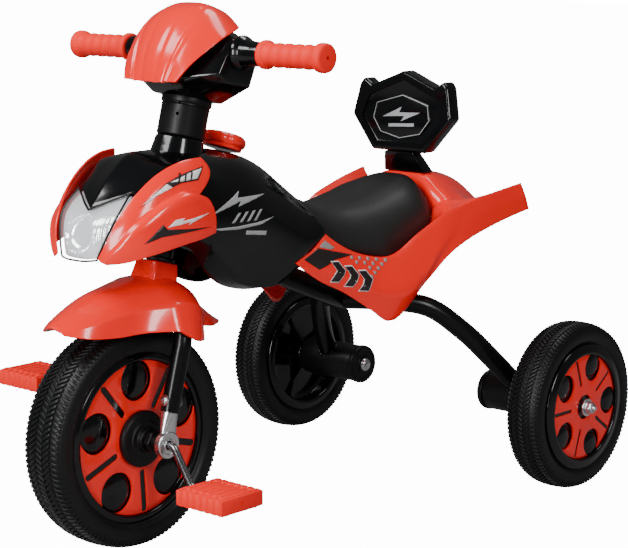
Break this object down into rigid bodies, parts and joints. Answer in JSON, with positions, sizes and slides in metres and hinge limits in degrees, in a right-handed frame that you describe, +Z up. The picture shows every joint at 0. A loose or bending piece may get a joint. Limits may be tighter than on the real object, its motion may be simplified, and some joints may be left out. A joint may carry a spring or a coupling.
{
  "type": "children's pedal tricycle",
  "caption": "Children's tricycle: pedals on the front wheel, raked handlebar steering, moulded motorbike-style shells, saddle seat and small backrest.",
  "frame": {"origin": "on the floor, below the middle of the overall length and width", "axes": "-Y is the front, +X is the rider's left, +Z is up"},
  "size_m": [0.548, 0.7706, 0.6115],
  "materials": {
    "red_gloss": "glossy injection-moulded polypropylene, bright orange-red",
    "red_soft": "matt soft-touch red plastic with fine texture",
    "black_gloss": "high-gloss black moulded plastic",
    "black_satin": "satin black moulded plastic",
    "seat_black": "matt black saddle with fine grain",
    "black_paint": "gloss black powder-coated steel tube",
    "zinc": "bright zinc-plated steel",
    "clear_lens": "clear moulded lens with fine ribs",
    "silver_reflector": "metallised reflector bowl",
    "tyre": "matt black foam-rubber tyre with block tread"
  },
  "bodies": {
    "frame": {"head_tube": "black_paint", "lower_head_bearing": "black_satin", "upper_head_bearing": "black_satin", "main_tube": "black_paint", "rear_arm_left": "black_paint", "rear_arm_right": "black_paint", "axle_bush_left": "black_satin", "axle_bush_right": "black_satin", "bush_cap_left": "black_satin", "bush_cap_right": "black_satin", "axle_bolt_left": "zinc", "axle_bolt_right": "zinc", "axle_washer_left": "zinc", "axle_washer_right": "zinc", "axle_nut_left": "zinc", "axle_nut_right": "zinc", "side_fairing_left": "red_gloss", "side_fairing_right": "red_gloss", "tank_shell": "black_gloss", "head_collar": "black_gloss", "headlight_lens": "clear_lens", "headlight_reflector": "silver_reflector", "tank_cap": "red_gloss", "seat": "seat_black", "rear_body": "red_gloss", "backrest_panel": "black_gloss", "backrest_badge": "black_gloss", "backrest_post": "black_gloss"},
    "steering": {"steerer_tube": "black_paint", "front_fender": "red_gloss", "stem_cover": "black_satin", "handlebar": "black_paint", "console_housing": "black_gloss", "console_fairing": "red_gloss", "fork_leg_left": "black_paint", "fork_leg_right": "black_paint", "dropout_left": "zinc", "dropout_right": "zinc", "fork_screw_left": "zinc", "fork_screw_right": "zinc", "bar_sleeve_left": "black_gloss", "bar_sleeve_right": "black_gloss", "grip_left": "red_soft", "grip_right": "red_soft"},
    "front_wheel": {"front_tyre": "tyre", "front_rim": "black_satin", "crank_axle": "zinc", "front_disc_left": "red_gloss", "front_disc_right": "red_gloss", "hub_flange_left": "black_satin", "hub_flange_right": "black_satin"},
    "pedal_left": {"pedal_left": "red_soft"},
    "pedal_right": {"pedal_right": "red_soft"},
    "rear_wheel_left": {"rear_tyre_left": "tyre", "rear_rim_left": "black_satin", "rear_disc_left": "red_gloss"},
    "rear_wheel_right": {"rear_tyre_right": "tyre", "rear_rim_right": "black_satin", "rear_disc_right": "red_gloss"}
  },
  "joints": [
    {"name": "steering", "type": "hinge", "parent": "frame", "child": "steering", "pos_m": [0, -0.25725, 0.128], "axis": [0, 0.2672, 0.9636], "range_deg": [-40, 40]},
    {"name": "front_wheel_spin", "type": "hinge", "parent": "steering", "child": "front_wheel", "pos_m": [0, -0.25725, 0.128], "axis": [1, 0, 0], "continuous": true},
    {"name": "pedal_left_spin", "type": "hinge", "parent": "front_wheel", "child": "pedal_left", "pos_m": [0, -0.26316, 0.08591], "axis": [1, 0, 0], "continuous": true},
    {"name": "pedal_right_spin", "type": "hinge", "parent": "front_wheel", "child": "pedal_right", "pos_m": [0, -0.25133, 0.17009], "axis": [1, 0, 0], "continuous": true},
    {"name": "rear_wheel_left_spin", "type": "hinge", "parent": "frame", "child": "rear_wheel_left", "pos_m": [0.234, 0.28025, 0.105], "axis": [1, 0, 0], "continuous": true},
    {"name": "rear_wheel_right_spin", "type": "hinge", "parent": "frame", "child": "rear_wheel_right", "pos_m": [-0.234, 0.28025, 0.105], "axis": [1, 0, 0], "continuous": true}
  ]
}
